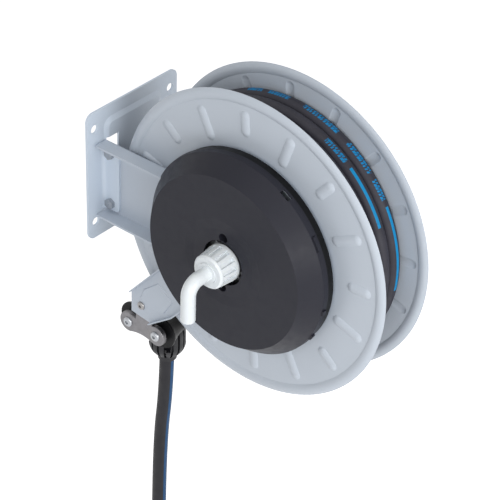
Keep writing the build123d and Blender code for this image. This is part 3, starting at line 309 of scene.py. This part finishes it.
for material, names in (
    (PLATE_PAINTED_LIGHT, "wall_plate"),
    (PAINT, "support_arm guide_arm guide_rivets"),
    (DISC, "front_disc rear_disc drum_core"),
    (BRIGHT, "arm_bolts stop_screws roller_axles"),
    (ZINC, "arm_nuts link_bolt link_nut axle_nuts hub_bolts "
           "spring_case_screws cover_screws tie_bolts tie_nuts shaft_flange_bolts thrust_washer "
           "retaining_ring pawl_pin hose_clamp"),
    (LINK, "link_front link_rear"),
    (STEEL, "hub_tube shaft spring_arbor ratchet_wheel pawl case_lid spring_case"),
    (SPRING, "power_spring pawl_spring"),
    (COVER, "reel_cover cover_clips"),
    (BUSH, "bush_front bush_rear"),
    (BLACK, "roller_left roller_right"),
    (STOP, "stop_half_left stop_half_right"),
    (HOSE_PLAIN, "hose_inlet hose_coil hose_lead hose_run hose_tail"),
    (SEAL, "swivel_seals"),
    (WHITE, "swivel_nut inlet_elbow"),
    (BRASS, "outlet_pipe hose_ferrule end_fitting"),
):
    for name in names.split():
        nodes[name].data.materials.clear()
        nodes[name].data.materials.append(material)


# ---- mesh helpers ---------------------------------------------------------------------------
def add_mesh(name, verts, faces, material, uvs=None, smooth=True):
    """A mesh object from lists; uvs is one pair per corner of each face."""
    mesh = bpy.data.meshes.new(name)
    mesh.from_pydata([tuple(v) for v in verts], [], faces)
    if uvs is not None:
        layer = mesh.uv_layers.new(name="UVMap")
        for loop, uv in zip(layer.data, [p for face in uvs for p in face]):
            loop.uv = uv
    for poly in mesh.polygons:
        poly.use_smooth = smooth
    mesh.materials.append(material)
    obj = bpy.data.objects.new(name, mesh)
    scene.collection.objects.link(obj)
    return obj


def tube(name, path, radius, material, away, segments=28, closed=False, bore=0.0):
    """A hose along a path. UV y is 0.5 on the side that away(point) points to.
    With a bore, an open tube gets an inner wall and flat ends."""
    count = len(path)
    verts, faces, uvs = [], [], []
    lengths = [0.0]
    for a, b in zip(path, path[1:]):
        lengths.append(lengths[-1] + (b - a).length)
    total = lengths[-1] + ((path[0] - path[-1]).length if closed else 0)
    radii = [radius] if bore == 0 else [radius, bore]
    rings = []
    for i, point in enumerate(path):
        before = path[i - 1] if i > 0 or closed else path[0]
        after = path[(i + 1) % count] if i < count - 1 or closed else path[-1]
        along = (after - before).normalized()
        out = away(point)
        out = (out - along * out.dot(along)).normalized()
        side = along.cross(out)
        rings.append((point, out, side))
    for r in radii:
        for point, out, side in rings:
            for k in range(segments):
                a = math.pi + 2 * math.pi * k / segments
                verts.append(point + (out * math.cos(a) + side * math.sin(a)) * r)
    spans = count if closed else count - 1
    for level in range(len(radii)):
        base = level * count * segments
        for i in range(spans):
            j = (i + 1) % count
            u0, u1 = lengths[i], lengths[i + 1] if i + 1 < count else total
            for k in range(segments):
                n = (k + 1) % segments
                here = base + i * segments
                there = base + j * segments
                v0, v1 = k / segments, (k + 1) / segments
                quad = [here + k, here + n, there + n, there + k]
                pairs = [(u0, v0), (u0, v1), (u1, v1), (u1, v0)]
                turn = 1 if level == 0 else -1
                faces.append(quad[::turn])
                uvs.append(pairs[::turn])
    if not closed:
        for i in (0, count - 1):
            if bore:
                outer = i * segments
                inner = (count + i) * segments
                for k in range(segments):
                    n = (k + 1) % segments
                    quad = [outer + k, inner + k, inner + n, outer + n]
                    faces.append(quad if i == 0 else quad[::-1])
                    uvs.append([(0, 0)] * 4)
            else:
                ring = [i * segments + k for k in range(segments)]
                faces.append(ring if i else ring[::-1])
                uvs.append([(0, 0)] * segments)
    return add_mesh(name, verts, faces, material, uvs)


# ---- the hanging hose: a tube on the hose body -------------------------------------------------
def route_points(name, points):
    """The smooth line that the hose follows, read back from its spline."""
    curve = bpy.data.curves.new(name, "CURVE")
    curve.dimensions = "3D"
    curve.resolution_u = 24
    spline = curve.splines.new("NURBS")
    spline.points.add(len(points) - 1)
    for p, co in zip(spline.points, points):
        p.co = (*co, 1)
    spline.order_u = 3
    spline.use_endpoint_u = True
    obj = bpy.data.objects.new(name, curve)
    mesh = bpy.data.meshes.new_from_object(obj)
    line = [v.co.copy() for v in mesh.vertices]
    bpy.data.objects.remove(obj)
    bpy.data.curves.remove(curve)
    bpy.data.meshes.remove(mesh)
    return line


LINE_SIDE = Vector((0.97, 0.10, 0))              # the side of the free hose that the line is on
TAIL_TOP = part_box("hose_tail")[1][2]
TAIL_SHIFT = 0.0145                             # how far the hose hangs over towards the wall
TAIL_ROUTE = [
    (RUN.x, 0, TAIL_TOP), (RUN.x, 0, -0.352),
    (RUN.x - TAIL_SHIFT, 0, -0.482), (RUN.x - TAIL_SHIFT, 0, -0.642),
]
tail_line = route_points("tail_route", TAIL_ROUTE)
tail = tube("hose_end_run", tail_line, HOSE_R, HOSE_TAIL, lambda p: LINE_SIDE, 40, bore=0.0065)
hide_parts("hose_tail")
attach(tail, "hose")


# ---- wound hose ---------------------------------------------------------------------------------
COIL_START = 215.0                              # each layer starts and ends behind the guide
# what is printed on the rear turn and on the next, as degrees round the drum
LINE_MARKS = (((30, -9),), ((51, 24),))
PRINT_MARKS = (((113, 106), (103, 92), (84, 67), (61, 46), (42, 33)), ((66, 55),))
MARK_TILT = (0.05, 0.22)                       # how far the marks turn from outward to the front
COIL_SAG = 0.0055                               # the wound hose is pulled over towards the wall
SAG_ANGLE = 15.0


def smooth(t):
    """0 to 1, slow at both ends."""
    t = min(max(t, 0.0), 1.0)
    return t * t * (3 - 2 * t)


def winding_line(layer, steps):
    """Flat turns side by side, each stepping over to the next within a sixth of a turn.
    Both ends dip into the layer below, and the outer layers sit a little towards the wall."""
    radius = OUTER_R - (LAYERS - 1 - layer) * PITCH
    sag = COIL_SAG * layer / (LAYERS - 1)
    line = []
    count = steps * TURNS
    for i in range(count + 1):
        turn, part = divmod(i / steps, 1.0)
        place = min(turn + smooth((part - 0.78) / 0.20), TURNS - 1)
        ends = smooth(min(i, count - i) / (steps * 0.07))
        y = ((TURNS - 1) / 2 - place) * PITCH
        degrees = COIL_START - 360 * part
        pulled = sag * math.cos(math.radians(degrees - SAG_ANGLE))
        line.append(on_drum(radius - (1 - ends) * PITCH - pulled, degrees, y))
    return line


def outward(point):
    return Vector((point.x - AXIS.x, 0, point.z - AXIS.z)).normalized()


def mark_side(turn):
    return lambda point: outward(point) + Vector((0, -MARK_TILT[turn], 0))


def within(degrees, spans):
    return any(low <= degrees <= high for high, low in spans)


def print_marks(piece, turn, steps):
    """Gives the faces under each mark the line or the print."""
    piece.data.materials.append(HOSE_LINE)
    piece.data.materials.append(HOSE_PRINT)
    per_step = len(piece.data.polygons) // steps
    for i in range(steps):
        degrees = COIL_START - 360 * (i + 0.5) / steps
        look = 0
        if within(degrees, LINE_MARKS[turn]):
            look = 1
        elif within(degrees, PRINT_MARKS[turn]):
            look = 2
        for k in range(per_step):
            piece.data.polygons[i * per_step + k].material_index = look


def make_coil():
    parts = []
    for layer in range(LAYERS - 1):
        line = winding_line(layer, 72)
        parts.append(tube(f"coil_layer_{layer + 1}", line, HOSE_R, HOSE_PLAIN, outward, 20))
    steps = 240
    line = winding_line(LAYERS - 1, steps)
    for turn in range(TURNS):
        marked = turn < len(LINE_MARKS)
        away = mark_side(turn) if marked else outward
        route = line[turn * steps:(turn + 1) * steps + 1]
        piece = tube(f"coil_turn_{turn + 1}", route, HOSE_R, HOSE_PLAIN, away, 32)
        if marked:
            print_marks(piece, turn, steps)
        parts.append(piece)
    return parts


coil = make_coil()
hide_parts("hose_coil")
for piece in coil:
    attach(piece, "drum")


# ---- hose from the coil to the guide -------------------------------------------------------------
lead_low = Vector(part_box("hose_lead")[0])


def lead_line():
    """A smooth line off the coil's side, over to the guide's middle and down."""
    start_x = AXIS.x - OUTER_R + COIL_SAG * math.cos(math.radians(180 - SAG_ANGLE))
    line = []
    for i in range(49):
        t = i / 48
        z = AXIS.z + 0.012 + t * (lead_low.z - AXIS.z - 0.012)
        ease = smooth(t / 0.75)
        line.append(Vector((start_x + ease * (RUN.x - start_x), -PITCH / 2 * (1 - ease), z)))
    return line


lead = tube("hose_to_guide", lead_line(), HOSE_R, HOSE_TAIL, lambda p: LINE_SIDE, 32)
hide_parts("hose_lead")
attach(lead, "frame")
run_low, run_high = [Vector(v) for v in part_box("hose_run")]
run_line = [Vector((RUN.x, 0, run_low.z + (run_high.z - run_low.z) * i / 24)) for i in range(25)]
run = tube("hose_in_guide", run_line, HOSE_R - 0.00015, HOSE_TAIL, lambda p: LINE_SIDE, 32)
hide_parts("hose_run")
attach(run, "hose")


# ---- softened edges -------------------------------------------------------------------------------
def soften(names, width, segments=2, degrees=32):
    """Rounds the edges of CAD pieces by a small radius."""
    for name in names.split():
        bevel = nodes[name].modifiers.new("edges", "BEVEL")
        bevel.width = width
        bevel.segments = segments
        bevel.limit_method = "ANGLE"
        bevel.angle_limit = math.radians(degrees)
        bevel.use_clamp_overlap = True
        bevel.harden_normals = True


soften("wall_plate support_arm guide_arm link_front link_rear", 0.0006)
soften("stop_half_left stop_half_right", 0.0008)
soften("reel_cover swivel_nut", 0.0007)


# ---- stage and light --------------------------------------------------------------------------------
def seen_directly(tree):
    """1 for rays from the camera, from gloss and through glass, else 0."""
    path = tree.nodes.new("ShaderNodeLightPath")
    value = path.outputs["Is Camera Ray"]
    for name in ("Is Glossy Ray", "Is Transmission Ray"):
        strongest = tree.nodes.new("ShaderNodeMath")
        strongest.operation = "MAXIMUM"
        tree.links.new(value, strongest.inputs[0])
        tree.links.new(path.outputs[name], strongest.inputs[1])
        value = strongest.outputs[0]
    return value


def pale_floor(name, color, lift):
    """A matt floor that is lifted to white where it is seen, and still takes shadows."""
    mat = bpy.data.materials.new(name)
    mat.use_nodes = True
    tree = mat.node_tree
    bsdf = tree.nodes["Principled BSDF"]
    bsdf.inputs["Base Color"].default_value = (*color, 1)
    bsdf.inputs["Roughness"].default_value = 0.9
    bsdf.inputs["Emission Color"].default_value = (1, 1, 1, 1)
    amount = tree.nodes.new("ShaderNodeMath")
    amount.operation = "MULTIPLY"
    tree.links.new(seen_directly(tree), amount.inputs[0])
    amount.inputs[1].default_value = lift
    tree.links.new(amount.outputs[0], bsdf.inputs["Emission Strength"])
    return mat


FLOOR_COLOR = (0.86, 0.86, 0.87)
FLOOR_LIFT = 0.60
FLOOR_HALF = 30                                 # half the floor's width
AMBIENT = 0.50                                  # the world's strength as a light; it is seen as 1


def add_stage():
    z = cad_low[2] - HOSE_TRAVEL - 0.02
    size = FLOOR_HALF
    verts = [(-size, -size, z), (size, -size, z), (size, size, z), (-size, size, z)]
    paint = pale_floor("floor_white", FLOOR_COLOR, FLOOR_LIFT)
    floor = add_mesh("floor", verts, [[0, 1, 2, 3]], paint, smooth=False)
    world = bpy.data.worlds.new("world")
    scene.world = world
    world.use_nodes = True
    tree = world.node_tree
    back = tree.nodes["Background"]
    back.inputs["Color"].default_value = (1, 1, 1, 1)
    mix = tree.nodes.new("ShaderNodeMapRange")
    mix.inputs["To Min"].default_value = AMBIENT
    mix.inputs["To Max"].default_value = 1.0
    tree.links.new(seen_directly(tree), mix.inputs["Value"])
    tree.links.new(mix.outputs["Result"], back.inputs["Strength"])


def area(name, place, target, size, power):
    """A round white lamp at a place, turned to the target."""
    light = bpy.data.lights.new(name, "AREA")
    light.shape = "DISK"
    light.size = size
    light.energy = power
    obj = bpy.data.objects.new(name, light)
    obj.location = place
    obj.rotation_euler = (Vector(target) - Vector(place)).to_track_quat("-Z", "Y").to_euler()
    scene.collection.objects.link(obj)


LAMPS = (                                       # name, place, size, watts
    ("key", (1.3, -2.4, 1.5), 1.3, 18),
    ("near", (0.95, -0.60, 0.20), 0.35, 1.3),
    ("side", (2.7, -0.5, 0.5), 1.4, 28),
    ("top", (0.3, -0.6, 2.6), 1.2, 6),
)
add_stage()
for lamp, place, size, power in LAMPS:
    area(lamp, place, (AXIS.x, 0, AXIS.z), size, power)
